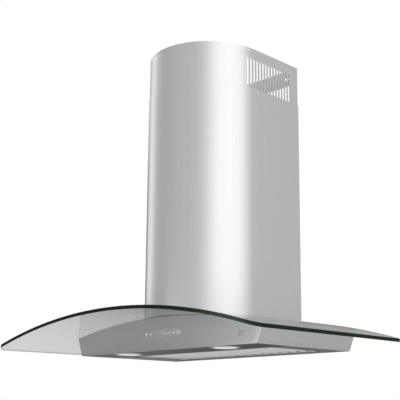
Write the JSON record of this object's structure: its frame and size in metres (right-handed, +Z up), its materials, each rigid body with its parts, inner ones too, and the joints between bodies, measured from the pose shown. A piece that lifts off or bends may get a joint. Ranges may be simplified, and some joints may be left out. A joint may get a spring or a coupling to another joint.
{
  "type": "wall-mount chimney range hood",
  "caption": "Wall-mount range hood with an arched glass canopy, a telescoping chimney with a rounded front, a baffle filter, lamps, push keys, a blower and a duct collar.",
  "frame": {"origin": "middle of the lower rear edge of the body, on the wall plane", "axes": "+X to the right along the wall as seen from the room, +Y into the wall, +Z up"},
  "size_m": [0.9, 0.5, 0.7692],
  "materials": {
    "body_steel": "brushed along the wall",
    "chimney_steel": "brushed upright",
    "underside_steel": "brushed",
    "filter_steel": "satin",
    "galvanised_steel": "galvanised, dull",
    "bracket_paint": "pale grey powder coat",
    "canopy_glass": "polished",
    "seal_rubber": "matte",
    "bright_steel": "bright",
    "key_steel": "satin silver with white symbols",
    "display_glass": "gloss",
    "receiver_plastic": "satin, pale",
    "board_laminate": "satin",
    "lamp_diffuser": "frosted white",
    "lamp_body": "black anodised",
    "white_plastic": "matte",
    "black_plastic": "fine texture",
    "motor_paint": "satin"
  },
  "bodies": {
    "hood": {"front_fascia": "body_steel", "side_panel_left": "body_steel", "side_panel_right": "body_steel", "rear_panel": "body_steel", "roof_plate": "galvanised_steel", "underside_frame": "underside_steel", "lamp_panel": "underside_steel", "glass_canopy": "canopy_glass", "glass_seals": "seal_rubber", "glass_clamp_screws": "bright_steel", "control_panel": "body_steel", "display_window": "display_glass", "receiver_window": "receiver_plastic", "control_board": "board_laminate", "name_plate": "body_steel", "lamp_bezels": "bright_steel", "lamp_lenses": "lamp_diffuser", "lamp_housings": "lamp_body", "lamp_driver": "white_plastic", "filter_hinge_pins": "bright_steel", "blower_box": "galvanised_steel", "scroll_half_left": "black_plastic", "scroll_half_right": "black_plastic", "fan_motor": "motor_paint", "motor_spider": "galvanised_steel", "motor_capacitor": "white_plastic", "outlet_collar": "galvanised_steel", "damper_spindle": "bright_steel", "junction_box": "black_plastic", "junction_lid": "black_plastic", "cable_gland": "black_plastic", "hook_bracket": "galvanised_steel", "wall_rail": "galvanised_steel", "lower_cover_bracket_left": "galvanised_steel", "lower_cover_bracket_right": "galvanised_steel", "lower_chimney_cover": "chimney_steel"},
    "fan": {"wheel_disc": "galvanised_steel", "wheel_rings": "galvanised_steel", "wheel_blades": "galvanised_steel", "motor_shaft": "bright_steel"},
    "damper_front": {"damper_flap_front": "galvanised_steel"},
    "damper_rear": {"damper_flap_rear": "galvanised_steel"},
    "filter": {"filter_frame": "filter_steel", "filter_lower_baffles": "filter_steel", "filter_upper_baffles": "filter_steel", "filter_catch_spring": "bright_steel"},
    "catch": {"filter_catch": "black_plastic"},
    "light_key": {"key_light": "key_steel"},
    "slower_key": {"key_slower": "key_steel"},
    "faster_key": {"key_faster": "key_steel"},
    "power_key": {"key_power": "key_steel"},
    "upper_chimney": {"upper_chimney_cover": "chimney_steel", "upper_wall_bracket": "bracket_paint"}
  },
  "joints": [
    {"name": "fan_spin", "type": "hinge", "parent": "hood", "child": "fan", "pos_m": [0, -0.122, 0.208], "axis": [1, 0, 0], "continuous": true},
    {"name": "damper_front_swing", "type": "hinge", "parent": "hood", "child": "damper_front", "pos_m": [0, -0.18, 0.3355], "axis": [-1, 0, 0], "range_deg": [0, 75]},
    {"name": "damper_rear_swing", "type": "hinge", "parent": "hood", "child": "damper_rear", "pos_m": [0, -0.18, 0.3355], "axis": [1, 0, 0], "range_deg": [0, 75]},
    {"name": "filter_swing", "type": "hinge", "parent": "hood", "child": "filter", "pos_m": [-0.246, -0.123, 0.0084], "axis": [0, 1, 0], "range_deg": [0, 60]},
    {"name": "catch_slide", "type": "slide", "parent": "filter", "child": "catch", "axis": [-1, 0, 0], "range_m": [0, 0.004], "stiffness_N_per_m": 500, "springref_m": -0.002},
    {"name": "light_key_press", "type": "slide", "parent": "hood", "child": "light_key", "axis": [0, 1, 0], "range_m": [0, 0.0008], "stiffness_N_per_m": 600, "springref_m": -0.0006},
    {"name": "slower_key_press", "type": "slide", "parent": "hood", "child": "slower_key", "axis": [0, 1, 0], "range_m": [0, 0.0008], "stiffness_N_per_m": 600, "springref_m": -0.0006},
    {"name": "faster_key_press", "type": "slide", "parent": "hood", "child": "faster_key", "axis": [0, 1, 0], "range_m": [0, 0.0008], "stiffness_N_per_m": 600, "springref_m": -0.0006},
    {"name": "power_key_press", "type": "slide", "parent": "hood", "child": "power_key", "axis": [0, 1, 0], "range_m": [0, 0.0008], "stiffness_N_per_m": 600, "springref_m": -0.0006},
    {"name": "chimney_slide", "type": "slide", "parent": "hood", "child": "upper_chimney", "axis": [0, 0, 1], "range_m": [-0.1, 0.25]}
  ]
}
